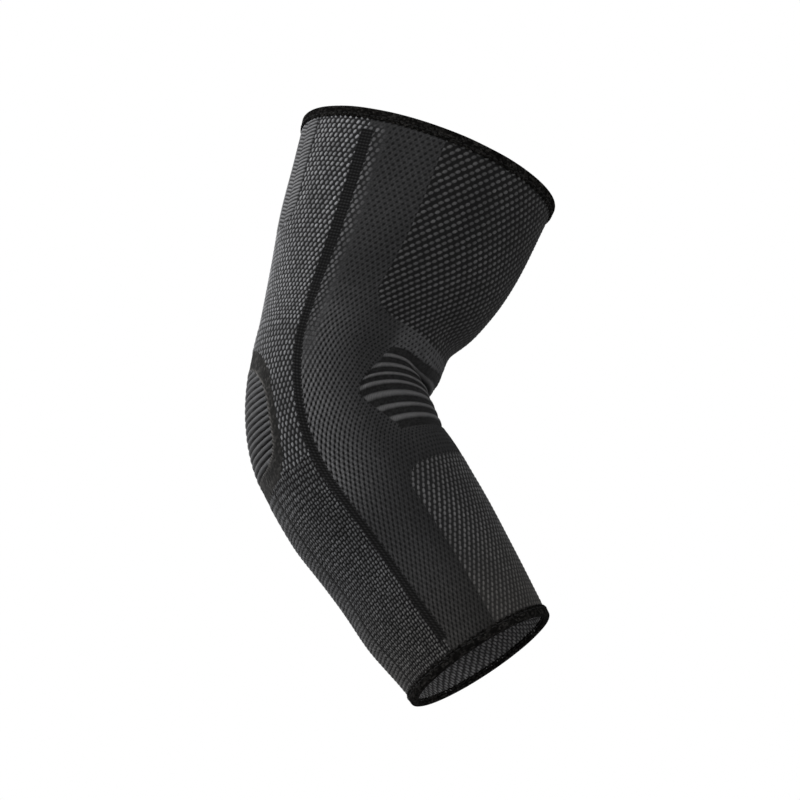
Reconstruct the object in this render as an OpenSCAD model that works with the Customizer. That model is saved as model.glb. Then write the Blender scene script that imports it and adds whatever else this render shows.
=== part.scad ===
// Knitted compression elbow pad (sleeve), shaped as it sits on a half-bent arm.
// Millimetres. Origin: centre of the upper opening. +Z up, +X towards the crook of the elbow,
// -Y towards the outer side of the arm. Angles around the sleeve run from the crook (0)
// over the outer side (90) to the elbow tip (180).

/* [Sleeve] */
// Length along the middle line, opening to opening
sleeve_len = 250; // [240:1:260]
// Place of the elbow along the middle line
elbow_s = 130; // [126:1:134]
// Radius of the middle line's bend at the elbow
bend_r = 65; // [63:1:70]
// Lean of the upper arm from vertical
upper_lean = 20; // [15:1:22]
// Lean of the forearm from vertical
forearm_lean = 32.5; // [30:0.5:34]

/* [Sections] */
// Upper opening: reach to the crook side, reach to the elbow side, half depth
sec_upper_edge = [59, 60, 44]; // [30:0.5:70]
// A fifth of the way down
sec_upper_arm = [53, 53, 44]; // [30:0.5:70]
// Just above the crook
sec_above_crook = [36.5, 43.5, 42.5]; // [30:0.5:60]
// Middle of the sleeve
sec_crook = [41, 42, 42]; // [30:0.5:60]
// Just below the crook
sec_below_crook = [42, 41.5, 41]; // [30:0.5:60]
// Four fifths of the way down
sec_forearm = [40.5, 37, 37]; // [30:0.5:60]
// Lower opening
sec_lower_edge = [34.5, 33, 34]; // [25:0.5:50]

/* [Knit] */
// Thickness of the outer knit face
face_t = 0.8; // [0.6:0.1:1]
// Thickness of the inner knit face
inner_t = 0.8; // [0.6:0.1:1]
// Clearance between the two faces
layer_gap = 0.6; // [0.4:0.05:0.7]
// Joint line between two zones of the outer face
zone_gap = 0.3; // [0.3:0.1:0.6]

/* [Edge bindings] */
// Height of the folded tape on the outside
binding_h = 5.5; // [4:0.5:7]
// Thickness of the folded tape
binding_t = 0.8; // [0.6:0.1:1]
// Thickness of the sewing thread
thread_d = 0.5; // [0.4:0.1:0.7]

/* [Side stripes] */
// Width of a stripe at its upper end
stripe_w = 6; // [4:0.5:8]
// How much narrower it is from the elbow down
stripe_taper = 2; // [0:0.5:3]
// Angle around the sleeve at its upper end
stripe_at = 115.5; // [112:0.5:118]
// How far it drifts to the front at its lower end
stripe_drift = 3.5; // [0:0.5:6]
// Distance of its ends from the openings
stripe_end = 10; // [8:1:14]

/* [Front mesh] */
// Half angle of the upper mesh zone
upper_mesh_angle = 81; // [75:1:85]
// Half angle of the forearm mesh zone
forearm_mesh_angle = 76; // [70:1:80]
// Half angle of both zones where they end at the crook
mesh_end_angle = 60; // [56:1:64]
// Lower end of the upper mesh zone
upper_split = 88; // [86:1:90]
// Upper end of the forearm mesh zone
forearm_split = 171; // [169:1:173]
// Length over which a mesh zone's corner is rounded
mesh_corner = 11; // [8:1:14]

/* [Crook pleats] */
// First and last pleat
pleats_from = 101; // [99:1:103]
pleats_to = 152; // [150:1:154]
// Half angle of the pleats at their widest
pleats_angle = 79; // [74:1:82]
// How fast the pleats shorten away from the middle, in degrees per millimetre
pleats_taper = 0.78; // [0.7:0.02:0.82]

/* [Elbow pad] */
// Place of the pad's centre along the middle line
pad_s = 128; // [126:1:130]
// Half height of the ring around the pad, along the middle line
ring_half_s = 24; // [22:1:26]
// Half angle of the ring
ring_half_angle = 48; // [46:1:50]
// Half height of the ribbed pad inside the ring
pad_half_s = 18; // [16:1:20]
// Half angle of the ribbed pad
pad_half_angle = 40; // [38:1:42]
// How far the pad stands proud of the sleeve
pad_proud = 0.8; // [0:0.1:1.2]

/* [Herringbone panel] */
// Half angle of the panel at the back of the upper arm
herringbone_angle = 32; // [28:1:36]
// Lower end of the panel
herringbone_end = 56; // [50:1:60]
// Length over which its lower end narrows
herringbone_round = 12; // [8:1:16]

/* [Elbow joint] */
// Half angle of the gap in the inner face at the crook
crook_gap = 27; // [26:1:30]
// Half angle of the gap in the inner face at the elbow tip
elbow_gap = 30; // [28:1:32]
// Distance from the joint's axis to the tips of the two halves
tip_gap = 1.2; // [1:0.1:2]

/* [Hidden] */
stations = sleeve_len * [0, 0.2, 0.4, 0.5, 0.6, 0.8, 1];
sections = [sec_upper_edge, sec_upper_arm, sec_above_crook, sec_crook,
            sec_below_crook, sec_forearm, sec_lower_edge];
bend_angle = upper_lean + forearm_lean;
bend_half = bend_r * bend_angle / 2 * PI / 180;
bend_from = elbow_s - bend_half;
bend_to = elbow_s + bend_half;
step_s = 7;                  // spacing of the rings along the sleeve
step_a = 9;                  // spacing of the points around it
front_cells = 16;            // cells across the front zones, the back zones and the smaller ones
pleat_cells = 18;
back_cells = 16;
side_cells = 5;
flank_cells = 4;
panel_cells = 8;
stripe_cells = 2;
inner_cells = 14;            // cells along each half of the inner face, and along its two wedges
wedge_cells = 10;
tape_clear = 0.3;            // air between the inner face and the tape's inner leg
thread_inset = 1.5;          // the sewing line's distance from the tape's edge
thread_lift = 0.15;          // air between the tape and the thread
taper_from = 50;             // the stripes narrow from here on
taper_len = 60;
herringbone_narrows = 12;    // degrees by which its lower end narrows on each side
wedge_half = 78;             // half angle of the inner face's two wedges
inner_out = -face_t - layer_gap;
inner_in = inner_out - inner_t;
face_in = -face_t;
wall_in = inner_in - binding_t - tape_clear;
full_turn = 360;
back = 180;

// ---- middle line ----
function heading(s) = -upper_lean + min(max((s - bend_from) / bend_r * 180 / PI, 0), bend_angle);
function along(a) = [sin(a), 0, -cos(a)];
function forward(a) = [cos(a), 0, sin(a)];
bend_centre = bend_from * along(-upper_lean) + bend_r * forward(-upper_lean);
function middle(s) =
    s < bend_from ? s * along(-upper_lean) :
    s < bend_to ? bend_centre - bend_r * forward(heading(s)) :
    bend_centre - bend_r * forward(forearm_lean) + (s - bend_to) * along(forearm_lean);

// ---- sections, joined by a smooth curve through the seven stations ----
last_station = len(stations) - 1;
function slope(i) =
    let (lo = max(i - 1, 0), hi = min(i + 1, last_station))
    (sections[hi] - sections[lo]) / (stations[hi] - stations[lo]);
function span_of(s, i = 0) = i >= last_station - 1 || s < stations[i + 1] ? i : span_of(s, i + 1);
function section(s) =
    let (i = span_of(s), h = stations[i + 1] - stations[i], t = (s - stations[i]) / h)
    (2 * t ^ 3 - 3 * t ^ 2 + 1) * sections[i] + (t ^ 3 - 2 * t ^ 2 + t) * h * slope(i)
    + (3 * t ^ 2 - 2 * t ^ 3) * sections[i + 1] + (t ^ 3 - t ^ 2) * h * slope(i + 1);

// A point of the sleeve: s along it, angle a around it, off outwards from its outer surface
function at(s, a, off) =
    let (q = section(s), mid = (q[0] - q[1]) / 2, half = (q[0] + q[1]) / 2)
    middle(s) + (mid + (half + off) * cos(a)) * forward(heading(s)) - [0, (q[2] + off) * sin(a), 0];

// Millimetres per degree around the sleeve
function mm_per_degree(s, a) =
    let (q = section(s)) norm([(q[0] + q[1]) / 2 * sin(a), q[2] * cos(a)]) * PI / 180;

// ---- grids of [s, angle] ----
function spread(from, to, step = step_s) =
    let (n = max(1, ceil((to - from) / step))) [for (i = [0:n]) from + (to - from) * i / n];
function without_last(list) = [for (i = [0:len(list) - 2]) list[i]];
function row(s, from_a, to_a, cells) =
    [for (j = [0:cells]) [s, from_a + (to_a - from_a) * j / cells]];
function zone(rows, first, second, cells) = [for (s = rows) row(s, first(s), second(s), cells)];

// ---- outlines of the zones ----
function stripe_mid(s) = stripe_at - stripe_drift * (s / sleeve_len) ^ 3;
function stripe_width(s) = stripe_w - stripe_taper * min(max((s - taper_from) / taper_len, 0), 1);
function stripe_half(s) = stripe_width(s) / 2 / mm_per_degree(s, stripe_at);
function gap_angle(s) = zone_gap / mm_per_degree(s, stripe_at);
function stripe_front(s) = stripe_mid(s) - stripe_half(s);
function stripe_back(s) = stripe_mid(s) + stripe_half(s);
function corner(t) = 1 - sqrt(1 - min(max(t, 0), 1) ^ 2);
function upper_mesh_edge(s) = upper_mesh_angle
    - (upper_mesh_angle - mesh_end_angle) * corner((s - upper_split + mesh_corner) / mesh_corner);
function forearm_mesh_edge(s) = forearm_mesh_angle
    - (forearm_mesh_angle - mesh_end_angle) * corner((forearm_split + mesh_corner - s) / mesh_corner);
function pleat_edge(s) = pleats_angle - pleats_taper * abs(s - pad_s);
function crook_edge(s) =
    s < pleats_from ? mesh_end_angle + (pleat_edge(pleats_from) - mesh_end_angle)
        * (s - upper_split) / (pleats_from - upper_split) :
    s > pleats_to ? mesh_end_angle + (pleat_edge(pleats_to) - mesh_end_angle)
        * (forearm_split - s) / (forearm_split - pleats_to) :
    pleat_edge(s);
function herringbone_edge(s) = back - herringbone_angle
    + herringbone_narrows * corner((s - herringbone_end + herringbone_round) / herringbone_round);
function oval_s(t, half_s) = pad_s - half_s * cos(t);

// ---- solids ----
// A curved sheet over a grid of [s, angle], between two distances from the outer surface
module shell(grid, off_in, off_out, closed = false) {
    rows = len(grid);
    cols = len(grid[0]);
    sheet = rows * cols;
    last = closed ? cols - 1 : cols - 2;
    points = [for (off = [off_out, off_in]) for (row = grid) for (p = row) at(p[0], p[1], off)];
    function id(k, i, j) = k * sheet + i * cols + j % cols;
    skins = [for (i = [0:rows - 2]) for (j = [0:last]) each [
        [id(0, i, j), id(0, i + 1, j), id(0, i + 1, j + 1)],
        [id(0, i, j), id(0, i + 1, j + 1), id(0, i, j + 1)],
        [id(1, i + 1, j + 1), id(1, i + 1, j), id(1, i, j)],
        [id(1, i, j + 1), id(1, i + 1, j + 1), id(1, i, j)]]];
    ends = [for (j = [0:last]) each [
        [id(0, 0, j), id(0, 0, j + 1), id(1, 0, j + 1)],
        [id(0, 0, j), id(1, 0, j + 1), id(1, 0, j)],
        [id(0, rows - 1, j + 1), id(0, rows - 1, j), id(1, rows - 1, j)],
        [id(0, rows - 1, j + 1), id(1, rows - 1, j), id(1, rows - 1, j + 1)]]];
    sides = closed ? [] : [for (i = [0:rows - 2]) each [
        [id(0, i + 1, 0), id(0, i, 0), id(1, i, 0)],
        [id(0, i + 1, 0), id(1, i, 0), id(1, i + 1, 0)],
        [id(0, i, cols - 1), id(0, i + 1, cols - 1), id(1, i + 1, cols - 1)],
        [id(0, i, cols - 1), id(1, i + 1, cols - 1), id(1, i, cols - 1)]]];
    polyhedron(points, concat(skins, ends, sides), convexity = 6);
}

// A closed outline of [s, off] taken once round the sleeve
module hoop(outline) {
    n = len(outline);
    turns = full_turn / step_a;
    points = [for (k = [0:turns - 1]) for (p = outline) at(p[0], k * step_a, p[1])];
    function id(k, i) = (k % turns) * n + i % n;
    polyhedron(points, [for (k = [0:turns - 1]) for (i = [0:n - 1]) each [
        [id(k, i), id(k, i + 1), id(k + 1, i + 1)],
        [id(k, i), id(k + 1, i + 1), id(k + 1, i)]]], convexity = 6);
}

module face(grid, proud = 0) {
    shell(grid, face_in, proud);
}

module medial() {
    mirror([0, 1, 0]) children();
}

// ---- where the two halves of the inner face stop, so that the elbow can turn ----
hinge = middle(elbow_s);
to_crook = forward(heading(elbow_s));
down_arm = along(heading(elbow_s));
function in_gap(s, a) =
    let (p = at(s, a, inner_out) - hinge, ray = cos(a) > 0 ? crook_gap : elbow_gap)
    abs(p * down_arm) < tan(ray) * abs(p * to_crook) + tip_gap;
function stop_s(a, clear, inside, k = 12) =
    k == 0 ? clear :
    let (m = (clear + inside) / 2)
    in_gap(m, a) ? stop_s(a, clear, m, k - 1) : stop_s(a, m, inside, k - 1);
clear_above = elbow_s - 80;  // well outside the gap, above and below it
clear_below = elbow_s + 85;
function upper_stop(a) = stop_s(a, clear_above, elbow_s);
function forearm_stop(a) = stop_s(a, clear_below, elbow_s);
inner_end = 0.4;             // the knit stops this far inside the fold of the tape

module inner_half(from, stop_at) {
    angles = [0:step_a:full_turn - step_a];
    stops = [for (a = angles) stop_at(a)];
    grid = [for (i = [0:inner_cells]) [for (j = [0:len(stops) - 1])
        [from + (stops[j] - from) * i / inner_cells, j * step_a]]];
    flipped = [for (i = [inner_cells:-1:0]) grid[i]];
    shell(from < elbow_s ? grid : flipped, inner_in, inner_out, closed = true);
}

module inner_wedge(centre_a, half_a) {
    cells = 2 * ceil(half_a / step_a);
    angles = [for (j = [0:cells]) centre_a - half_a + 2 * half_a * j / cells];
    tops = [for (a = angles) upper_stop(a) + zone_gap];
    feet = [for (a = angles) forearm_stop(a) - zone_gap];
    shell([for (i = [0:wedge_cells]) [for (j = [0:cells])
        [tops[j] + (feet[j] - tops[j]) * i / wedge_cells, angles[j]]]], inner_in, inner_out);
}

module binding(edge, into) {
    // into is +1 where the sleeve lies below the edge and -1 where it lies above
    h = binding_h * into;
    wall = inner_end * into;
    over = -binding_t / 2 * into;
    outline = [[edge + over, wall_in], [edge + over, binding_t],
               [edge + h, binding_t], [edge + h, layer_gap],
               [edge + wall / 2, layer_gap], [edge + wall / 2, inner_in - layer_gap],
               [edge + h, inner_in - layer_gap], [edge + h, wall_in]];
    hoop(into > 0 ? outline : [for (i = [7:-1:0]) outline[i]]);
}

module thread(s) {
    r = thread_d / 2;
    mid = binding_t + r + thread_lift;
    hoop([[s - r, mid], [s, mid + r], [s + r, mid], [s, mid - r]]);
}

// ---- rows along the sleeve, shared by the zones that meet side by side ----
first_face = inner_end;
last_face = sleeve_len - inner_end;
upper_faces_to = upper_split - zone_gap / 2;
elbow_from = upper_split + zone_gap / 2;
elbow_to = forearm_split - zone_gap / 2;
forearm_from = forearm_split + zone_gap / 2;
stripe_last = sleeve_len - stripe_end;
corner_step = 3;
upper_rows = concat(spread(first_face, stripe_end - 2 * zone_gap),
    without_last(spread(stripe_end - zone_gap, upper_split - mesh_corner)),
    spread(upper_split - mesh_corner, upper_faces_to, corner_step));
flank_rows = concat(spread(first_face, stripe_end - 2 * zone_gap),
    without_last(spread(stripe_end - zone_gap, herringbone_end - herringbone_round)),
    spread(herringbone_end - herringbone_round, herringbone_end - zone_gap / 2, corner_step));
elbow_rows = concat(without_last(spread(elbow_from, pleats_from)),
    without_last(spread(pleats_from, pad_s)), without_last(spread(pad_s, pleats_to)),
    spread(pleats_to, elbow_to));
pleat_rows = [for (s = concat(without_last(spread(pleats_from, pad_s)), spread(pad_s, pleats_to)))
    min(max(s, pleats_from + zone_gap / 2), pleats_to - zone_gap / 2)];
forearm_rows = concat(
    without_last(spread(forearm_from, forearm_split + mesh_corner, corner_step)),
    spread(forearm_split + mesh_corner, stripe_last + zone_gap),
    spread(stripe_last + 2 * zone_gap, last_face));
stripe_margin = 1.5 * zone_gap;
function has_stripe(s) = s > stripe_end - stripe_margin && s < stripe_last + stripe_margin;
function before_stripe(s) = (has_stripe(s) ? stripe_front(s) : stripe_mid(s)) - gap_angle(s);
function after_stripe(s) = (has_stripe(s) ? stripe_back(s) : stripe_mid(s)) + gap_angle(s);

// ---- upper arm ----
module upper_inner_tube() { color("#4a4a4c") inner_half(inner_end, function(a) upper_stop(a)); }
module upper_binding() { color("#161618") binding(0, 1); }
module upper_binding_thread() { color("#2a2a2c") thread(binding_h - thread_inset); }
module upper_mesh_panel() {
    color("#1e1e20") face(zone(upper_rows,
        function(s) -upper_mesh_edge(s), function(s) upper_mesh_edge(s), front_cells));
}
module upper_side() {
    face(zone(upper_rows, function(s) upper_mesh_edge(s) + gap_angle(s),
        function(s) before_stripe(s), side_cells));
}
module upper_side_lateral() { color("#323235") upper_side(); }
module upper_side_medial() { color("#323235") medial() upper_side(); }
module stripe(from, to) {
    face(zone(spread(from, to), function(s) stripe_front(s), function(s) stripe_back(s), stripe_cells));
}
module upper_stripe_lateral() { color("#121214") stripe(stripe_end, upper_faces_to); }
module upper_stripe_medial() { color("#121214") medial() stripe(stripe_end, upper_faces_to); }
module upper_back_flank() {
    face(zone(flank_rows, function(s) after_stripe(s),
        function(s) herringbone_edge(s) - gap_angle(s), flank_cells));
}
module upper_back_flank_lateral() { color("#3c3c40") upper_back_flank(); }
module upper_back_flank_medial() { color("#3c3c40") medial() upper_back_flank(); }
module herringbone_panel() {
    color("#303033") face(zone(flank_rows, function(s) herringbone_edge(s),
        function(s) full_turn - herringbone_edge(s), panel_cells));
}
module upper_back_panel() {
    color("#3c3c40") face(zone(spread(herringbone_end + zone_gap / 2, upper_faces_to),
        function(s) after_stripe(s), function(s) full_turn - after_stripe(s), back_cells));
}

// ---- elbow ----
module crook_inner() { color("#4a4a4c") inner_wedge(0, wedge_half); }
module elbow_inner() { color("#4a4a4c") inner_wedge(back, wedge_half); }
module crook_pleats() {
    color("#242427") face(zone(pleat_rows,
        function(s) -pleat_edge(s), function(s) pleat_edge(s), pleat_cells));
}
module crook_band(from, to) {
    color("#323235") face(zone(spread(from, to),
        function(s) -crook_edge(s), function(s) crook_edge(s), front_cells));
}
module crook_band_upper() { crook_band(elbow_from, pleats_from - zone_gap / 2); }
module crook_band_lower() { crook_band(pleats_to + zone_gap / 2, elbow_to); }
module elbow_side() {
    face(zone(elbow_rows, function(s) crook_edge(s) + gap_angle(s),
        function(s) before_stripe(s), side_cells));
}
module elbow_side_lateral() { color("#323235") elbow_side(); }
module elbow_side_medial() { color("#323235") medial() elbow_side(); }
module elbow_stripe_lateral() { color("#121214") stripe(elbow_from, elbow_to); }
module elbow_stripe_medial() { color("#121214") medial() stripe(elbow_from, elbow_to); }
ring_steps = 16;
function outside_oval(s, a) = row(s, after_stripe(s), a - gap_angle(s), side_cells);
module elbow_back() {
    above = spread(elbow_from, pad_s - ring_half_s);
    below = spread(pad_s + ring_half_s, elbow_to);
    face(concat(
        [for (s = above) outside_oval(s, back)],
        [for (k = [1:ring_steps - 1]) let (t = back * k / ring_steps)
            outside_oval(oval_s(t, ring_half_s), back - ring_half_angle * sin(t))],
        [for (s = below) outside_oval(s, back)]));
}
module elbow_back_lateral() { color("#3c3c40") elbow_back(); }
module elbow_back_medial() { color("#3c3c40") medial() elbow_back(); }
function oval(half_s, half_a) = [for (k = [0:2 * ring_steps - 1]) let (t = full_turn * k / 2 / ring_steps)
    [oval_s(t, half_s), back + half_a * sin(t)]];
module elbow_ring() {
    outer = oval(ring_half_s - zone_gap, ring_half_angle - 0.4);
    inner = oval(pad_half_s + zone_gap, pad_half_angle + 0.5);
    color("#222225") shell([inner, (inner + outer) / 2, outer], face_in, pad_proud / 2, closed = true);
}
module elbow_pad_ribs() {
    color("#4c4c50") face([for (k = [1:ring_steps - 1]) let (t = back * k / ring_steps)
        [for (j = [-5:5]) [oval_s(t, pad_half_s), back + pad_half_angle * sin(t) * j / 5]]], pad_proud);
}

// ---- forearm ----
module forearm_inner_tube() {
    color("#4a4a4c") inner_half(sleeve_len - inner_end, function(a) forearm_stop(a));
}
module forearm_binding() { color("#161618") binding(sleeve_len, -1); }
module forearm_binding_thread() { color("#2a2a2c") thread(sleeve_len - binding_h + thread_inset); }
module forearm_mesh_panel() {
    color("#1e1e20") face(zone(forearm_rows,
        function(s) -forearm_mesh_edge(s), function(s) forearm_mesh_edge(s), front_cells - 2));
}
module forearm_side() {
    face(zone(forearm_rows, function(s) forearm_mesh_edge(s) + gap_angle(s),
        function(s) before_stripe(s), side_cells));
}
module forearm_side_lateral() { color("#323235") forearm_side(); }
module forearm_side_medial() { color("#323235") medial() forearm_side(); }
module forearm_stripe_lateral() { color("#121214") stripe(forearm_from, stripe_last); }
module forearm_stripe_medial() { color("#121214") medial() stripe(forearm_from, stripe_last); }
module forearm_back_panel() {
    color("#38383b") face(zone(forearm_rows, function(s) after_stripe(s),
        function(s) full_turn - after_stripe(s), back_cells));
}

upper_inner_tube();
upper_binding();
upper_binding_thread();
upper_mesh_panel();
upper_side_lateral();
upper_side_medial();
upper_stripe_lateral();
upper_stripe_medial();
upper_back_flank_lateral();
upper_back_flank_medial();
herringbone_panel();
upper_back_panel();
crook_inner();
elbow_inner();
crook_pleats();
crook_band_upper();
crook_band_lower();
elbow_side_lateral();
elbow_side_medial();
elbow_stripe_lateral();
elbow_stripe_medial();
elbow_back_lateral();
elbow_back_medial();
elbow_ring();
elbow_pad_ribs();
forearm_inner_tube();
forearm_binding();
forearm_binding_thread();
forearm_mesh_panel();
forearm_side_lateral();
forearm_side_medial();
forearm_stripe_lateral();
forearm_stripe_medial();
forearm_back_panel();
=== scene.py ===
"""Looks of the knitted elbow sleeve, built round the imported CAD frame.

Lengths are in mm until points are made, and in metres after.
"""
import math

import bpy
import numpy as np
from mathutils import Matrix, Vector


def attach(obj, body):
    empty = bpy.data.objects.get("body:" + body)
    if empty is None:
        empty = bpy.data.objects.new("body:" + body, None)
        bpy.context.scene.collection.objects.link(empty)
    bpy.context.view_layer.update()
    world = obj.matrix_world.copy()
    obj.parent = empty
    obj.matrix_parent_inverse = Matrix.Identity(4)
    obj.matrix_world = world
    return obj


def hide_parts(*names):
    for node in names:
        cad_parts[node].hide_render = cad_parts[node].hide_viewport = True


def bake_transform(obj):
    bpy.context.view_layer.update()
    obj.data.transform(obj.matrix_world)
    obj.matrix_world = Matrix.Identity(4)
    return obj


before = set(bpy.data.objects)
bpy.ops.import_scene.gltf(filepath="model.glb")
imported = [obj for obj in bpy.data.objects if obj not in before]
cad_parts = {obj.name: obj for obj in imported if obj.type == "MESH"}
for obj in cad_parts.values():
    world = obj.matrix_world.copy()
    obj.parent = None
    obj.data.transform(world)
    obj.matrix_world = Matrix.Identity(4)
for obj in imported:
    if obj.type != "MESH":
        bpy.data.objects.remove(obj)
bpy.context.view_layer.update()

# ---------------------------------------------------------------- the sleeve's form, as in the CAD part
LENGTH, ELBOW, BEND_R = 250.0, 130.0, 65.0
UPPER, LOWER = math.radians(20), math.radians(32.5)
HALF_BEND = BEND_R * (UPPER + LOWER) / 2
BEND_FROM, BEND_TO = ELBOW - HALF_BEND, ELBOW + HALF_BEND
STATIONS = np.array([0, 50, 100, 125, 150, 200, 250.0])
SECTIONS = np.array([[59, 60, 44], [53, 53, 44], [36.5, 43.5, 42.5], [41, 42, 42],
                     [42, 41.5, 41], [40.5, 37, 37], [34.5, 33, 34]])
FACE, GAP, INNER, TAPE = 0.8, 0.3, 0.6, 0.6      # outer face, air, inner face, and binding tape
INNER_IN = -(FACE + GAP + INNER)
EDGE = 1.4              # the knit stops this far inside the fold of each tape
FULL_TURN = 360
WALES, MESH_WALES, FINE_WALES, INNER_WALES = 120, 94, 180, 112      # stitches round the sleeve in each knit


def heading(s):
    return np.clip((s - BEND_FROM) / BEND_R, 0, UPPER + LOWER) - UPPER


def along(a):
    return np.stack([np.sin(a), 0 * a, -np.cos(a)], -1)


def forward(a):
    return np.stack([np.cos(a), 0 * a, np.sin(a)], -1)


def middle(s):
    centre = BEND_FROM * along(np.float64(-UPPER)) + BEND_R * forward(np.float64(-UPPER))
    return (centre - BEND_R * forward(heading(s))
            + np.minimum(s - BEND_FROM, 0)[..., None] * along(np.float64(-UPPER))
            + np.maximum(s - BEND_TO, 0)[..., None] * along(np.float64(LOWER)))


def section(s):
    last = len(STATIONS) - 1
    lo = np.maximum(np.arange(last + 1) - 1, 0)
    hi = np.minimum(np.arange(last + 1) + 1, last)
    slope = (SECTIONS[hi] - SECTIONS[lo]) / (STATIONS[hi] - STATIONS[lo])[:, None]
    i = np.clip(np.searchsorted(STATIONS, s, side="right") - 1, 0, last - 1)
    h = (STATIONS[i + 1] - STATIONS[i])[..., None]
    t = ((s - STATIONS[i]) / h[..., 0])[..., None]
    return ((2 * t**3 - 3 * t**2 + 1) * SECTIONS[i] + (t**3 - 2 * t**2 + t) * h * slope[i]
            + (3 * t**2 - 2 * t**3) * SECTIONS[i + 1] + (t**3 - t**2) * h * slope[i + 1])


def at(s, degrees, off):
    """Points in metres: s along the sleeve, degrees round it, off outwards from the outer surface."""
    q, a = section(s), np.radians(degrees)
    reach = (q[..., 0] - q[..., 1]) / 2 + ((q[..., 0] + q[..., 1]) / 2 + off) * np.cos(a)
    p = middle(s) + reach[..., None] * forward(heading(s))
    p[..., 1] -= (q[..., 2] + off) * np.sin(a)
    return p / 1000


def mm_per_degree(s, degrees):
    q, a = section(s), np.radians(degrees)
    return np.hypot((q[..., 0] + q[..., 1]) / 2 * np.sin(a), q[..., 2] * np.cos(a)) * math.pi / 180


# ---------------------------------------------------------------- small helpers
def smooth(a, b, x):
    t = np.clip((x - a) / (b - a), 0, 1)
    return t * t * (3 - 2 * t)


def rand(i, j, k=0):
    """A repeatable number from 0 to 1 for each pair of whole numbers."""
    x = np.sin(i * 127.1 + j * 311.7 + k * 74.7) * 43758.5453
    return x - np.floor(x)


def waves(x, y, seed=0):
    """Gentle unevenness, about -1 to 1."""
    total = 0
    for n in range(5):
        a = 2.4 * n + seed
        total = total + np.sin(x * math.cos(a) * (1 + .37 * n) + y * math.sin(a) * (1 + .29 * n) + 1.7 * a)
    return total / 3


def grains(w, r, half_w, half_l, lean=0.0, stagger=0.5, jitter=0.1, power=2.2, seed=0):
    """Knit grains on a lattice of wales w and rows r: their dome, their colour mask and a number for each."""
    dome, mask, number = np.zeros(w.shape), np.zeros(w.shape), np.zeros(w.shape)
    for k in (-1, 0, 1):
        row = np.floor(r) + k
        y = r - row - 0.5
        across = w + stagger * (row % 2) - lean * y
        wale = np.floor(across)
        n = rand(wale, row, seed)
        x = across - wale - 0.5 + (rand(wale, row, seed + 5) - 0.5) * jitter
        d = (np.abs(x / half_w) ** power + np.abs(y / half_l) ** power) ** (1 / power)
        here = np.sqrt(np.clip(1 - d * d, 0, 1))
        number = np.where(here > dome, n, number)
        dome = np.maximum(dome, here)
        mask = np.maximum(mask, smooth(1.12, 0.72, d))
    return dome, mask, number


# ---------------------------------------------------------------- grid of the outer face
rows = np.concatenate([np.arange(EDGE, 57, 0.38), np.arange(57, 96, 0.46), np.arange(96, 166, 0.3),
                       np.linspace(166, LENGTH - EDGE, 188)])
COLS = 840
S, TH = np.meshgrid(rows, -180 + FULL_TURN * np.arange(COLS) / COLS, indexing="ij")
A = np.abs(TH)
flat_points = at(S, TH, np.zeros(S.shape)) * 1000
V = np.zeros(S.shape)
V[1:] = np.cumsum(np.linalg.norm(np.diff(flat_points, axis=0), axis=2), axis=0)
U = TH * mm_per_degree(S, np.full(S.shape, 115.0))
BACK_FROM = 150.0       # the coarse back knit changes here
FLANK_END, MESH_UP_END, MESH_LOW_FROM = 57, 88, 171
SPLIT_UP, SPLIT_LOW = 100.5, 159.5      # where the side zones are divided, above and below the elbow
STRIPE_FROM, STRIPE_TO = 10, 240
HERRING_END = 56
PITCH = np.interp(rows, [0, 60, 105, 140, 180, 212, LENGTH], [2.36, 2.26, 1.72, 1.75, 2.12, 1.95, 1.9])
ROW = np.concatenate([[0], np.cumsum(np.diff(rows) / PITCH[1:])])[:, None] + 0 * S
WALE = TH * WALES / FULL_TURN

stripe_mid = 115.5 - 3.5 * (S / LENGTH) ** 3
BEYOND = (A - stripe_mid) * mm_per_degree(S, stripe_mid)      # mm past the stripe's middle, towards the back


def corner(t):
    return 1 - np.sqrt(1 - np.clip(t, 0, 1) ** 2)


MESH_UP = 81 - 21 * corner((S - 77) / 11)
MESH_LOW = 76 - 16 * corner((182 - S) / 11)

# pleats: eight creases, painted dark as shade, each from its tip at the side to its middle in the crook
TIP_S = np.array([101.5, 109, 119, 124.3, 130, 136, 142, 149.7])
TIP_A = np.array([57, 62, 72.5, 77.5, 79, 73, 66.5, 60.5])
APEX_S = np.array([93.5, 98.2, 104.2, 110.5, 117, 125.5, 134.5, 147.5])
CURVE = np.array([2, 2, 2, 2, 2, 1.4, 1.3, 1.3])
angle_row = np.abs(TH[0])
reach = np.clip(angle_row[None] / TIP_A[:, None], 0, 1.15) ** CURVE[:, None]
band_s = APEX_S[:, None] + (TIP_S - APEX_S)[:, None] * reach
BAND = np.empty(S.shape)
for j in range(COLS):
    b = band_s[:, j]
    BAND[:, j] = (np.interp(rows, b, np.arange(1, 9)) + np.minimum((rows - b[0]) / (b[1] - b[0]), 0)
                  + np.maximum((rows - b[7]) / (b[7] - b[6]), 0))
tip_here = np.interp(BAND, np.arange(1, 9), TIP_A)
PLEATS = (BAND > 0.62) & (BAND < 8.38) & (A < tip_here)

# elbow pad: a ribbed oval in a dark ring, shorter and squarer below its middle
ROUND_S, ROUND_A = 130.5, 180 - A
SQUARER, SHORTER = 1.3, 3.4


def oval(half_s, half_a, power):
    power, half_s = power + SQUARER * (S > ROUND_S), half_s - SHORTER * (S > ROUND_S)
    return (np.abs((S - ROUND_S) / half_s) ** power + np.abs(ROUND_A / half_a) ** power) ** (1 / power)


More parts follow.
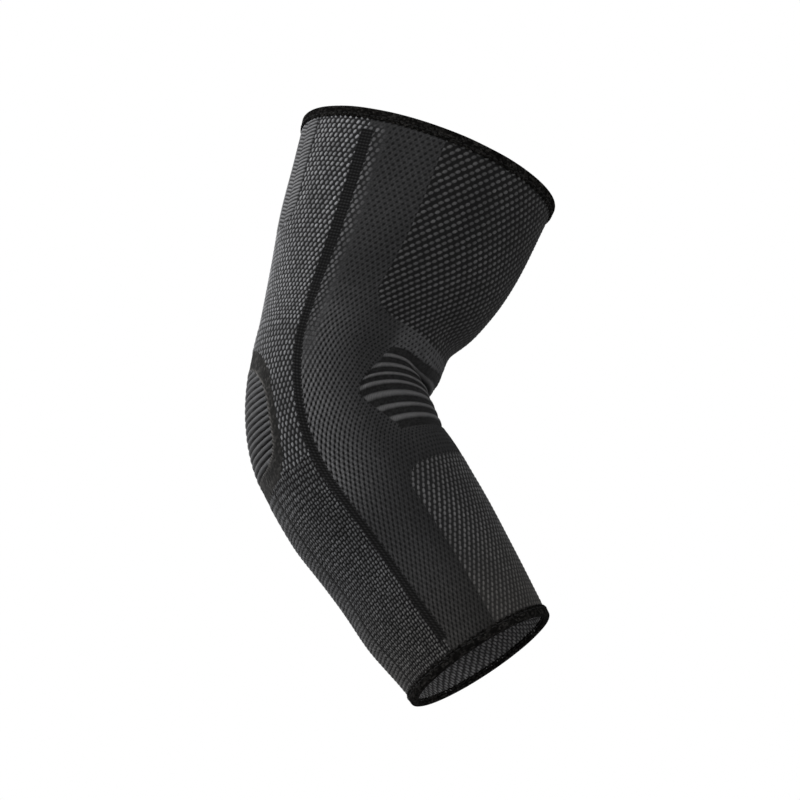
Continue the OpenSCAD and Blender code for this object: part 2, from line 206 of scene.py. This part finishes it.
RING_OUT, RING_IN = oval(22.5, 47, 2.7), oval(17.2, 41.3, 2.5)
HERRING_EDGE = 32 - 12 * corner((S - 44) / 12)
HERRING = (S < HERRING_END) & (ROUND_A < HERRING_EDGE)
BACK = BEYOND > 0
STRIPE_HALF = 3.0 - 0.9 * smooth(50, 108, S) - 0.3 * smooth(150, 185, S)
STRIPE = ((np.abs(BEYOND) < STRIPE_HALF + 0.2 * np.sign(np.sin(2 * math.pi * ROW)))
          & (S > STRIPE_FROM) & (S < STRIPE_TO))
MESH = ((S < MESH_UP_END) & (A < MESH_UP)) | ((S > MESH_LOW_FROM) & (A < MESH_LOW))

# ---------------------------------------------------------------- relief and tone of every zone
height = np.zeros(S.shape)
tone = np.zeros(S.shape)
warm = np.zeros(S.shape)


def put(mask, h, t, w=0.0):
    height[mask] = (h + 0 * S)[mask]
    tone[mask] = (t + 0 * S)[mask]
    warm[mask] = (w + 0 * S)[mask]


side_sign = np.sign(TH)
uneven = waves(U / 9, V / 11, 3)
# side zones and crook bands: plain ground with small sunk dots
dome, mask, number = grains(WALE, ROW, 0.25, 0.36, lean=0.12 * side_sign, jitter=0.12, seed=1)
fine, fine_mask, shade = grains(WALE * 2 + 0.25, ROW * 2, 0.36, 0.52, lean=0.1 * side_sign,
                                jitter=0.3, seed=9)
near = smooth(-30, -4, BEYOND) * smooth(70, 112, S) * (1 - 0.6 * smooth(150, 190, S))
crook = smooth(62, 52, A) * smooth(82, 86, S) * (1 - smooth(100, 104, S))
bright = grains(WALE + 0.5, ROW, 0.26, 0.5, lean=0.25 * side_sign, jitter=0.12, seed=1)[1]
ground = (0.041 * (1 - 0.3 * near + 1.3 * near * bright)
          * (1 + 0.25 * (shade - 0.5) + 0.25 * (fine_mask - 0.6)) * (1 + 1.2 * near + 0.92 * crook))
forearm = smooth(150, 185, S)
put(np.ones(S.shape, bool), 0.08 + 0.14 * fine - (0.26 + 0.2 * near + 0.1 * crook) * dome,
    ground * (1 - 0.34 * forearm) * (1 - (0.66 + 0.22 * near + 0.14 * crook - 0.16 * forearm) * mask), 0.1)
# lighter grains in front of each stripe
dome, mask, number = grains(WALE, ROW, 0.28, 0.46, lean=0.15 * side_sign, jitter=0.15, seed=2)
edge = (smooth(-11, -4, BEYOND) * (BEYOND < 0) * smooth(6, 9, S) * (1 - smooth(241, 244, S))
        * (1 - smooth(95, 125, S)))
height += edge * (0.3 * dome - 0.08)
tone += edge * (mask * (0.08 + 0.08 * number) + 0.016 - tone)
# mesh zones: oval grains on black
dome, mask, number = grains(TH * MESH_WALES / FULL_TURN, ROW, 0.245, 0.46,
                            lean=0.32 * np.sin(np.radians(TH)), jitter=0.1, seed=3)
cuff = smooth(195, 245, S)
# over the upper mesh the tone is darker towards the front: painted shade that makes up for the front lamp's
# light there
put(MESH, 0.45 * dome - 0.1, 0.009 + 0.009 * (S > 130) + 0.014 * cuff
    + mask * (0.060 + 0.038 * number) * (1 + 0.40 * (S > 130) - 0.5 * cuff)
    * (1 - 0.2 * smooth(45, 10, A) * (S < 90)), 0.2)
# back zone above the elbow: leaning dashes
dome, mask, number = grains(WALE, ROW, 0.235, 0.42, lean=(0.26 - 0.14 * smooth(60, 105, S)) * side_sign,
                            jitter=0.16, seed=4)
put(BACK, 0.50 * dome - 0.15,
    0.011 + mask * (0.32 + 0.2 * (number - 0.5)) * (1 - 0.3 * smooth(85, 125, S)), -0.1)
# back zone below the elbow: square bobbles, uneven
FINE_WALE = TH * FINE_WALES / FULL_TURN + 0.1 * waves(U / 5, V / 4, 7)
dome, mask, number = grains(FINE_WALE, ROW + 0.1 * waves(U / 3, V / 5, 4) + 0.17 * (np.floor(FINE_WALE) % 2),
                            0.33, 0.35, stagger=0, jitter=0.12, power=2.6, seed=6)
line = smooth(0.80, 0.95, rand(np.floor(FINE_WALE), 0 * S + 3))
low = BACK & (S > BACK_FROM - 2.5 + 1.5 * waves(U / 3, V / 3, 5))
put(low, 0.5 * dome - 0.15, 0.003 + mask * (0.088 + 0.096 * number**1.3) * (1 - 0.78 * line), 0.0)
# herringbone panel with its dark outline
column = ROUND_A * 3 / 64
zigzag = np.abs(column - np.floor(column) - 0.5) * 2
stroke = 0.5 + 0.5 * np.cos(2 * math.pi * (V / 1.85 - np.where(column > 1, 0.3, 1.5) * zigzag))
valley = smooth(0.10, 0.0, np.minimum(zigzag, 1 - zigzag))
put(HERRING, 0.5 * stroke - 0.14 * valley - 0.12,
    0.012 + 0.225 * smooth(0.3, 0.85, stroke) * (1 - 0.35 * valley), 0.0)
edge_mm = (HERRING_EDGE - ROUND_A) * mm_per_degree(S, A)
outline = (S < HERRING_END + 0.5) * np.exp(-(edge_mm / 0.55) ** 2)
# ring and ribs of the elbow pad
speck = rand(np.floor(WALE * 2.3), np.floor(ROW * 2.5), 8)
ring = (RING_OUT < 1)
put(ring, -0.1 + 0.2 * speck, 0.012 + 0.04 * speck**3, 0.7)
RIB_PITCH = 1.9
rib_phase = (S - ROUND_S + 0.9 * (ROUND_A / 40) ** 2) / RIB_PITCH
rib = np.abs(rib_phase - np.floor(rib_phase) - 0.5) / 0.38
rib_dome = np.sqrt(np.clip(1 - rib**2, 0, 1))
cord_knit = 0.5 + 0.5 * np.cos(2 * math.pi * (WALE * 2 + 0.5 * rib))
# the ribs are light yarn with dark gaps, but their tone also follows each rib's dome: a painted highlight on
# the crowns and painted shade in the grooves
put(RING_IN < 1, -0.7 + 1.1 * rib_dome + 0.08 * cord_knit * rib_dome,
    0.002 + smooth(0.4, 1.0, rib_dome) * (0.082 + 0.048 * cord_knit), 0.0)
rim = np.exp(-((RING_IN - 1.01) / 0.022) ** 2)
dots = 0.5 + 0.5 * np.cos(2 * math.pi * (V + np.abs(U)) / 2.2)
height += ring * rim * (0.35 * dots)
tone += ring * rim * dots * 0.13
# stripes
rib_v = 0.5 + 0.5 * np.cos(2 * math.pi * V / 1.45)
rib_u = 0.5 + 0.5 * np.cos(2 * math.pi * BEYOND / 1.5)
put(STRIPE, -0.25 + 0.25 * rib_v + 0.08 * rib_u, 0.003 + 0.036 * rib_v**2 * (0.2 + 0.8 * rib_u), 0.1)
# pleats: the tone follows each ridge's dome, with a painted highlight on the crowns and painted shade in the
# dark creases between them
phase = BAND - np.round(BAND)                                   # 0 in the middle of a dark band
ridge = np.abs(np.abs(phase) - 0.5) / 0.26
ridge_dome = np.sqrt(np.clip(1 - ridge**2, 0, 1))
inside = (BAND > 1) & (BAND < 8)
fade = smooth(0, 5, tip_here - A)
micro = 0.5 + 0.5 * np.cos(2 * math.pi * WALE * 3)
ridge_h = (0.45 + 0.65 * smooth(5, 30, A)) * ridge_dome
pleat_h = np.where(inside, -0.45 + (ridge_h + 0.12 * micro) * fade, -0.45 + 0.4 * (1 - fade))
# the creases' own knit, plus a painted highlight that grows with the ridge dome
pleat_tone_with_painted_shade = ((0.005 + 0.022 * micro) * (0.6 + 0.8 * rand(np.floor(WALE * 3), np.floor(ROW * 2), 5))
           + np.where(inside, ridge_dome**2.0 * (0.072 + 0.082 * micro), 0))
put(PLEATS, pleat_h, pleat_tone_with_painted_shade, 0.2)

relief = smooth(3, 7, S) * (1 - smooth(LENGTH - 7, LENGTH - 3, S))
height = height * relief - 0.35 * outline * relief
tone = tone * (1 + 0.10 * uneven) * (1 - 0.75 * outline)
warm = warm + 0.5 * cuff

# ---------------------------------------------------------------- the large shape: crook fold, pad, slack
def form(s, degrees):
    """Shift along the sleeve and rise of the whole wall: the fold, the fuller back, soft unevenness."""
    a = np.abs(degrees)
    deep = smooth(50, 18, a)
    t = s - (101.5 - 2.0 * smooth(0, 45, a))
    shift = deep * 4.6 * np.exp(-((t + 4) / 6.5) ** 2)
    rise = deep * (1.6 * np.exp(-((t + 7.5) / 4.8) ** 2) - 3.4 * np.exp(-((t + 0.5) / 3.2) ** 2)
                   - 2.6 * np.exp(-((s - 80) / 7.5) ** 2) + 0.9 * np.exp(-((s - 166) / 12) ** 2)) - 0.4
    rise += smooth(70, 130, a) * (1.6 * np.exp(-((s - 220) / 14) ** 2) - 1.5 * np.exp(-((s - 153) / 11) ** 2))
    slack = 0.25 * waves(degrees / 11, s / 13, 1) * smooth(5, 25, s) * (1 - smooth(225, 245, s))
    return shift, rise + slack


shift, rise = form(S, TH)
OUTER = at(S + shift, TH, rise + height)
UNDER = at(S + shift, TH, rise - FACE)
# area of each cell of the grid as the knit lies on the arm, in square metres
BASE_AREA = np.linalg.norm(np.cross(flat_points[1:] - flat_points[:-1],
                                    np.roll(flat_points, -1, 1)[:-1] - flat_points[:-1]), axis=2) / 1e6


# ---------------------------------------------------------------- materials
def knit_material(name, rough=0.85, sheen=0.06, fibre=0.35, bump=0.5, specular=0.12):
    """Yarn: tone from the knit's own attribute, fibres and fluff from noise along the stitches."""
    m = bpy.data.materials.new(name)
    m.use_nodes = True
    t = m.node_tree
    n, link = t.nodes, t.links.new
    shader = n["Principled BSDF"]

    def node(kind, **values):
        made = n.new(kind)
        for k, v in values.items():
            setattr(made, k, v)
        return made

    def maths(op, a, b):
        made = node("ShaderNodeMath", operation=op)
        for socket, value in zip(made.inputs, (a, b)):
            if isinstance(value, (int, float)):
                socket.default_value = value
            else:
                link(value, socket)
        return made.outputs[0]

    place = node("ShaderNodeAttribute", attribute_name="knit").outputs["Vector"]
    tone_at = node("ShaderNodeAttribute", attribute_name="tone").outputs["Fac"]
    warm_at = node("ShaderNodeAttribute", attribute_name="warm").outputs["Fac"]
    stretch = node("ShaderNodeVectorMath", operation="MULTIPLY")
    link(place, stretch.inputs[0])
    stretch.inputs[1].default_value = (7.0, 2.6, 7.0)
    yarn = node("ShaderNodeTexNoise")
    yarn.inputs["Scale"].default_value = 1.0
    yarn.inputs["Detail"].default_value = 4.0
    yarn.inputs["Roughness"].default_value = 0.65
    link(stretch.outputs[0], yarn.inputs["Vector"])
    fluff = node("ShaderNodeTexNoise")
    fluff.inputs["Scale"].default_value = 0.35
    fluff.inputs["Detail"].default_value = 3.0
    link(place, fluff.inputs["Vector"])
    vary = maths("ADD", maths("MULTIPLY", maths("SUBTRACT", yarn.outputs["Fac"], 0.5), 2 * fibre),
                 maths("ADD", maths("MULTIPLY", maths("SUBTRACT", fluff.outputs["Fac"], 0.5), 0.5), 1.0))
    value = maths("MAXIMUM", maths("MULTIPLY", tone_at, vary), 0.003)
    tint = node("ShaderNodeMix", data_type="RGBA")
    link(warm_at, tint.inputs["Factor"])
    tint.inputs["A"].default_value = (0.985, 0.99, 1.03, 1)
    tint.inputs["B"].default_value = (1.05, 0.99, 0.92, 1)
    colour = node("ShaderNodeVectorMath", operation="SCALE")
    link(tint.outputs["Result"], colour.inputs[0])
    link(value, colour.inputs["Scale"])
    link(colour.outputs[0], shader.inputs["Base Color"])
    shader.inputs["Roughness"].default_value = rough
    shader.inputs["Sheen Weight"].default_value = sheen
    shader.inputs["Sheen Roughness"].default_value = 0.5
    shader.inputs["Specular IOR Level"].default_value = specular
    raised = node("ShaderNodeBump")
    raised.inputs["Strength"].default_value = bump
    raised.inputs["Distance"].default_value = 0.00012
    link(yarn.outputs["Fac"], raised.inputs["Height"])
    link(raised.outputs["Normal"], shader.inputs["Normal"])
    return m


MATERIALS = {
    "knit_inner": knit_material("knit_inner", fibre=0.3, sheen=0.1),
    "knit_back": knit_material("knit_back", rough=0.7, sheen=0.08, fibre=0.4),
    "knit_forearm_back": knit_material("knit_forearm_back", rough=0.75, fibre=0.45),
    "knit_side": knit_material("knit_side", rough=0.9, fibre=0.25),
    "knit_mesh": knit_material("knit_mesh", rough=0.8, fibre=0.35),
    "knit_stripe": knit_material("knit_stripe", rough=0.9, sheen=0.03, fibre=0.4),
    "knit_herringbone": knit_material("knit_herringbone", rough=0.7, sheen=0.08),
    "knit_pleat": knit_material("knit_pleat", rough=0.85, fibre=0.3),
    "pad_rib": knit_material("pad_rib", rough=0.7, sheen=0.08, fibre=0.4),
    "pad_ring": knit_material("pad_ring", rough=0.9, fibre=0.6, bump=0.8),
    "edge_tape": knit_material("edge_tape", rough=0.9, sheen=0.0, fibre=0.6, specular=0.02),
    "sewing_thread": knit_material("sewing_thread", rough=0.6, sheen=0.02, fibre=0.3),
}


def make(name, points, faces, tone_of, warm_of, place, slot, nodes):
    mesh = bpy.data.meshes.new(name)
    faces = np.asarray(faces, np.int32)
    mesh.vertices.add(len(points))
    mesh.vertices.foreach_set("co", np.asarray(points, np.float32).ravel())
    mesh.loops.add(faces.size)
    mesh.loops.foreach_set("vertex_index", faces.ravel())
    mesh.polygons.add(len(faces))
    mesh.polygons.foreach_set("loop_start", np.arange(0, faces.size, 4, dtype=np.int32))
    mesh.update(calc_edges=True)
    mesh.validate()
    mesh.polygons.foreach_set("use_smooth", np.ones(len(mesh.polygons), bool))
    for label, values in (("tone", tone_of), ("warm", warm_of)):
        mesh.attributes.new(label, "FLOAT", "POINT").data.foreach_set("value", np.asarray(values, np.float32))
    knit = mesh.attributes.new("knit", "FLOAT_VECTOR", "POINT")
    knit.data.foreach_set("vector", np.asarray(place, np.float32).ravel())
    mesh.materials.append(MATERIALS[slot])
    obj = bpy.data.objects.new(name, mesh)
    bpy.context.scene.collection.objects.link(obj)
    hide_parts(*nodes)
    return obj


def border_of(quads):
    """The edges that only one quad has, in that quad's direction."""
    edges = np.concatenate([quads[:, [k, (k + 1) % 4]] for k in range(4)])
    _, first, count = np.unique(np.sort(edges, 1), axis=0, return_index=True, return_counts=True)
    return edges[first[count == 1]]


def grid_part(cells, cols, inward=False):
    """A grid's rows and columns where some cells are, the points under them, and their quads."""
    r, c = np.nonzero(cells)
    c2 = (c + 1) % cols
    quads = np.stack([r * cols + c, (r + 1) * cols + c, (r + 1) * cols + c2, r * cols + c2], 1)
    if inward:
        quads = quads[:, [0, 3, 2, 1]]
    used, quads = np.unique(quads, return_inverse=True)
    return r, c, used, quads.reshape(-1, 4)


def zone_piece(node, cells, slot, closed=False):
    """The part of the outer face over some cells of the grid, with its cut edges turned inwards."""
    r, c, used, quads = grid_part(cells, COLS)
    border = border_of(quads)
    total = len(used)
    if closed:
        more = [quads[:, ::-1] + total,
                np.stack([border[:, 1], border[:, 0], border[:, 0] + total, border[:, 1] + total], 1)]
        pick = np.concatenate([used, used])
        points = np.concatenate([OUTER.reshape(-1, 3)[used], UNDER.reshape(-1, 3)[used]])
    else:       # the turned edge has its own points, so that it doesn't bend the shading of the face
        extra, ends = np.unique(border, return_inverse=True)
        ends = ends.reshape(-1, 2) + total
        deep = ends + len(extra)
        more = [np.stack([ends[:, 1], ends[:, 0], deep[:, 0], deep[:, 1]], 1)]
        pick = np.concatenate([used, used[extra], used[extra]])
        points = np.concatenate([OUTER.reshape(-1, 3)[used], OUTER.reshape(-1, 3)[used[extra]],
                                 UNDER.reshape(-1, 3)[used[extra]]])
    place = np.stack([(WALE * 2.4).ravel()[pick], V.ravel()[pick], 0 * V.ravel()[pick]], 1)
    obj = make(node + ".knit", points, np.concatenate([quads] + more), tone.ravel()[pick],
               warm.ravel()[pick], place, slot, [node])
    area = float(BASE_AREA[r, c].sum())
    length = float((V.ravel()[used].max() - V.ravel()[used].min()) / 1000)
    return obj, area, length


cell_s = (S[:-1] + S[1:]) / 2
cell_side = np.where(TH[:-1] >= 0, 1, -1)


def on_cells(mask):
    return mask[:-1]


is_stripe, is_mesh, is_back = on_cells(STRIPE), on_cells(MESH), on_cells(BACK)
is_pad, is_ring = on_cells(RING_IN < 1), on_cells((RING_OUT < 1) & (RING_IN >= 1))
is_herring, is_pleat = on_cells(HERRING), on_cells(PLEATS)
upper, lower = cell_s < SPLIT_UP, cell_s > SPLIT_LOW
elbow = ~upper & ~lower
taken = is_stripe | is_pad | is_ring


def add(node, cells, slot, padded=False):
    """One zone of the outer face."""
    obj, area, length = zone_piece(node, cells, slot, closed=padded)
    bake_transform(obj)


CROOK_HALF, CROOK_FROM = 62, 86
CROOK = on_cells(A < CROOK_HALF) & (cell_s > CROOK_FROM) & (cell_s < MESH_LOW_FROM + 2) & ~is_mesh & ~is_pleat
crook_up = CROOK & (on_cells(BAND) < 2)
crook_down = CROOK & (on_cells(BAND) > 7)
CROOK = crook_up | crook_down
add("upper_mesh_panel", is_mesh & upper, "knit_mesh")
add("forearm_mesh_panel", is_mesh & ~upper, "knit_mesh")
add("crook_pleats", is_pleat, "knit_pleat")
add("crook_band_upper", crook_up, "knit_side")
add("crook_band_lower", crook_down, "knit_side")
add("herringbone_panel", is_herring & ~taken, "knit_herringbone")
add("elbow_ring", is_ring, "pad_ring")
add("elbow_pad_ribs", is_pad, "pad_rib", padded=True)
flank = is_back & ~taken & ~is_herring
add("upper_back_panel", flank & upper & (cell_s >= FLANK_END), "knit_back")
add("forearm_back_panel", flank & lower, "knit_forearm_back")
plain = ~is_back & ~taken & ~is_mesh & ~is_pleat & ~CROOK
for side, sign in (("_lateral", 1), ("_medial", -1)):
    here = cell_side == sign
    add("upper_stripe" + side, is_stripe & here & upper, "knit_stripe")
    add("elbow_stripe" + side, is_stripe & here & elbow, "knit_stripe")
    add("forearm_stripe" + side, is_stripe & here & lower, "knit_stripe")
    add("upper_side" + side, plain & here & upper, "knit_side")
    add("elbow_side" + side, plain & here & elbow, "knit_side")
    add("forearm_side" + side, plain & here & lower, "knit_side")
    add("upper_back_flank" + side, flank & here & upper & (cell_s < FLANK_END), "knit_back")
    add("elbow_back" + side, flank & here & elbow, "knit_back")

# ---------------------------------------------------------------- inner face
in_rows = np.concatenate([np.arange(EDGE, 45, 0.5), np.arange(45, 205, 1.25),
                          np.linspace(205, LENGTH - EDGE, 91)])
IN_COLS = 540
INNER_PITCH = 1.95
S2, T2 = np.meshgrid(in_rows, -180 + FULL_TURN * np.arange(IN_COLS) / IN_COLS, indexing="ij")
p2 = at(S2, T2, np.full(S2.shape, INNER_IN)) * 1000
V2 = np.zeros(S2.shape)
V2[1:] = np.cumsum(np.linalg.norm(np.diff(p2, axis=0), axis=2), axis=0)
dome, mask, number = grains(T2 * INNER_WALES / FULL_TURN, V2 / INNER_PITCH, 0.30, 0.42, jitter=0.12, seed=12)
shift2, rise2 = form(S2, T2)
visible = 1 - smooth(42, 46, S2) * (1 - smooth(204, 208, S2))
lift = -(0.28 * dome - 0.1) * visible
OUTER_2 = at(S2 + shift2, T2, rise2 + INNER_IN + lift)
UNDER_2 = at(S2 + shift2, T2, rise2 + INNER_IN + INNER)
# the inner face's grey dots are real, but painted light makes them lighter than the yarn, standing in for
# light that reaches inside the sleeve
inner_tone_with_painted_light = 0.05 + (mask * (0.20 + 0.09 * number)) * visible + 0.1 * (1 - visible)


def inner_piece(node, cells):
    """One zone of the inner face."""
    r, c, used, quads = grid_part(cells, IN_COLS, inward=True)
    border = border_of(quads)
    extra, ends = np.unique(border, return_inverse=True)
    ends = ends.reshape(-1, 2) + len(used)
    faces = np.concatenate([quads, np.stack([border[:, 1], border[:, 0], ends[:, 0], ends[:, 1]], 1)])
    pick = np.concatenate([used, used[extra]])
    points = np.concatenate([OUTER_2.reshape(-1, 3)[used], UNDER_2.reshape(-1, 3)[used[extra]]])
    place = np.stack([(T2 * 0.75).ravel()[pick], V2.ravel()[pick], 0 * V2.ravel()[pick] + 40], 1)
    obj = make(node + ".knit", points, faces, inner_tone_with_painted_light.ravel()[pick], np.full(len(pick), 0.2), place,
               "knit_inner", [node])
    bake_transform(obj)


GUSSETS_FROM, GUSSETS_TO = 104, 152
s2, t2 = S2[:-1], T2[:-1]
gusset = (s2 >= GUSSETS_FROM) & (s2 < GUSSETS_TO)
inner_piece("upper_inner_tube", s2 < GUSSETS_FROM)
inner_piece("forearm_inner_tube", s2 >= GUSSETS_TO)
inner_piece("crook_inner", gusset & (np.abs(t2) < 90))
inner_piece("elbow_inner", gusset & (np.abs(t2) >= 90))

# ---------------------------------------------------------------- edge tapes and their stitches
STITCH = 2.9            # length of one stitch
UPPER_LEG, LOWER_LEG, INNER_LEG = 5.2, 4.4, 2.8       # how far each tape reaches over the knit
SEW_OUT, SEW_IN = 1.3, 1.9      # the stitches' distance from the outer leg's edge, and from the fold inside
TAPE_COLS, THREAD_SIDES, THREAD_R = 900, 6, 0.24


def tape(label, upper_end, body):
    """A folded tape over the cut edge: outer leg, rounded fold, inner leg, with the knit between them."""
    node = label + "_binding"
    thread = node + "_thread"
    wide = UPPER_LEG if upper_end else LOWER_LEG
    inside = INNER_IN - 0.2 - TAPE
    mid, half = (TAPE + inside) / 2, (TAPE - inside) / 2
    path = [(wide, -0.1), (wide - 0.1, 0.3), (wide - 0.5, TAPE), (wide - 1.4, TAPE), (2.0, TAPE), (1.3, TAPE)]
    for k in range(13):
        a = math.pi * k / 12
        path.append((1.05 - 1.05 * math.sin(a), mid + half * math.cos(a)))
    path += [(1.3, inside), (1.8, inside), (2.4, inside), (INNER_LEG - 0.1, inside + 0.1),
             (INNER_LEG, inside + 0.5)]
    path = np.array(path)
    step = np.concatenate([[0], np.cumsum(np.linalg.norm(np.diff(path, axis=0), axis=1))])
    fine = np.linspace(0, step[-1], 44)
    e = np.interp(fine, step, path[:, 0])
    off = np.interp(fine, step, path[:, 1])
    cols = TAPE_COLS
    deg = -180 + FULL_TURN * np.arange(cols) / cols
    edge_s = np.full(cols, 0.0 if upper_end else LENGTH)
    ring_points = at(edge_s, deg, np.zeros(cols)) * 1000
    arc = np.concatenate([[0], np.cumsum(np.linalg.norm(np.diff(ring_points, axis=0), axis=1))])
    around = arc[-1] + np.linalg.norm(ring_points[0] - ring_points[-1])
    count = round(around / STITCH)
    beat = arc / around * count
    E, BEAT = np.meshgrid(e, beat, indexing="ij")
    OFF, DEG = np.meshgrid(off, deg, indexing="ij")
    FINE, ARC = np.meshgrid(fine, arc, indexing="ij")
    outward = np.where(OFF > mid, 1.0, -1.0)
    pull = 0.5 + 0.5 * np.cos(2 * math.pi * BEAT)
    seam = np.where(outward > 0, wide - SEW_OUT, SEW_IN)
    groove = np.exp(-((E - seam) / 0.6) ** 2) * (0.15 + 0.3 * pull)
    lip = smooth(seam + 0.1, seam + 1.4, E)
    rib = (np.abs(np.sin(math.pi * (ARC + FINE * 0.8) / 0.85))
           * (0.5 + 0.5 * np.abs(np.sin(math.pi * (ARC - FINE) / 0.85))))
    puff = 0.10 * waves(ARC / 6, FINE / 3, 2)
    move = outward * (0.14 * rib + puff - groove + lip * 0.2 * (1 - pull))
    Eb = E + lip * 0.7 * (pull - 0.5)
    place_s = Eb if upper_end else LENGTH - Eb
    points = at(place_s, DEG, OFF + move).reshape(-1, 3)
    n = len(fine)
    i, j = np.meshgrid(np.arange(n - 1), np.arange(cols), indexing="ij")
    i, j = i.ravel(), j.ravel()
    k = (j + 1) % cols
    quads = np.stack([i * cols + j, i * cols + k, (i + 1) * cols + k, (i + 1) * cols + j], 1)
    if not upper_end:
        quads = quads[:, ::-1]
    place = np.stack([ARC.ravel(), FINE.ravel(), 0 * ARC.ravel() + 80], 1)
    tones = (0.004 + 0.05 * rib * rand(np.floor(ARC / 0.8), np.floor(FINE / 0.8)) ** 3).ravel()
    obj = make(node + ".tape", points, quads, tones, np.full(len(points), 0.9), place, "edge_tape", [node])
    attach(obj, body)
    # stitches: short stretches of thread that dip into the tape at both ends
    verts, faces = [], []
    sides = THREAD_SIDES
    for level, out in ((TAPE, 1), (inside, -1)):
        for q in range(count):
            first = len(verts)
            for m in range(7):
                x = (q + 0.12 + 0.76 * m / 6) / count * around
                d = float(np.interp(x, arc, deg, right=180))
                rise = 0.12 * math.sin(math.pi * m / 6) - 0.32 * abs(m / 3 - 1) ** 3
                drift = 0.12 * (m / 3 - 1)
                for g in range(sides):
                    b = 2 * math.pi * g / sides
                    ee = (wide - SEW_OUT if out > 0 else SEW_IN) + drift + THREAD_R * math.cos(b)
                    verts.append((ee if upper_end else LENGTH - ee, d,
                                  level + out * (rise + THREAD_R * math.sin(b) - 0.12)))
            for m in range(6):
                for g in range(sides):
                    a0, a1 = first + m * sides + g, first + m * sides + (g + 1) % sides
                    faces.append((a0, a1, a1 + sides, a0 + sides))
    v = np.array(verts)
    points = at(v[:, 0], v[:, 1], v[:, 2])
    place = np.stack([v[:, 1] * 2, v[:, 2] * 3, v[:, 0]], 1)
    obj = make(thread + ".stitches", points, faces, np.full(len(v), 0.016), np.full(len(v), 0.3), place,
               "sewing_thread", [thread])
    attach(obj, body)


tape("upper", True, "upper_arm")
tape("forearm", False, "forearm")

# ---------------------------------------------------------------- camera, lights, floor and background
scene = bpy.context.scene
scene.view_settings.view_transform = "Standard"
camera = bpy.data.objects.new("camera", bpy.data.cameras.new("camera"))
scene.collection.objects.link(camera)
camera.data.lens = 119.6
camera.data.sensor_width = 36
camera.data.clip_end = 50
camera.location = (-0.0133, -1.0892, -0.4864)
target = Vector((-0.0133, 0, -0.1113))
camera.rotation_euler = (target - camera.location).to_track_quat("-Z", "Y").to_euler()
scene.camera = camera


def light(name, place, size, power):
    """A white square lamp that looks at the middle of the sleeve."""
    data = bpy.data.lights.new(name, "AREA")
    data.size = size
    data.energy = power
    obj = bpy.data.objects.new(name, data)
    scene.collection.objects.link(obj)
    obj.visible_camera = False
    obj.location = place
    obj.rotation_euler = (Vector((0, 0, -0.12)) - Vector(place)).to_track_quat("-Z", "Y").to_euler()


light("key", (-1.3, -0.6, 0.5), 0.7, 13.2)
light("cuff", (0.7, -1.3, -0.42), 0.35, 0.9)
light("rim", (-1.1, 0.7, 0.15), 0.7, 5.5)
light("fill", (0.3, -1.6, 0.2), 1.0, 3.8)
light("front", (1.3, -0.7, 0.2), 0.7, 4)

FLOOR_Z, FLOOR_HALF, FLOOR_CELLS = -0.62, 20.0, 8
across = FLOOR_CELLS + 1
ticks = np.linspace(-FLOOR_HALF, FLOOR_HALF, across)
floor_mesh = bpy.data.meshes.new("floor")
floor_mesh.from_pydata([(x, y, FLOOR_Z) for y in ticks for x in ticks], [],
                       [(k, k + 1, k + across + 1, k + across)
                        for k in (r * across + c for r in range(FLOOR_CELLS) for c in range(FLOOR_CELLS))])
floor_material = bpy.data.materials.new("floor")
floor_material.use_nodes = True
floor_shader = floor_material.node_tree.nodes["Principled BSDF"]
floor_shader.inputs["Base Color"].default_value = (0.7, 0.7, 0.7, 1)
floor_shader.inputs["Roughness"].default_value = 0.9
floor_shader.inputs["Emission Color"].default_value = (1, 1, 1, 1)
pale = floor_material.node_tree.nodes.new("ShaderNodeMapRange")
pale.inputs["To Max"].default_value = 0.8
seen = floor_material.node_tree.nodes.new("ShaderNodeLightPath")
floor_material.node_tree.links.new(seen.outputs["Is Camera Ray"], pale.inputs["Value"])
floor_material.node_tree.links.new(pale.outputs["Result"], floor_shader.inputs["Emission Strength"])
floor_mesh.materials.append(floor_material)
floor = bpy.data.objects.new("floor", floor_mesh)
scene.collection.objects.link(floor)

world = bpy.data.worlds.new("studio")
scene.world = world
world.use_nodes = True
nodes, links = world.node_tree.nodes, world.node_tree.links
back = nodes["Background"]
back.inputs["Color"].default_value = (1, 1, 1, 1)
path = nodes.new("ShaderNodeLightPath")
power = nodes.new("ShaderNodeMapRange")
power.inputs["To Min"].default_value = 0.14
power.inputs["To Max"].default_value = 1.0
links.new(path.outputs["Is Camera Ray"], power.inputs["Value"])
links.new(power.outputs["Result"], back.inputs["Strength"])
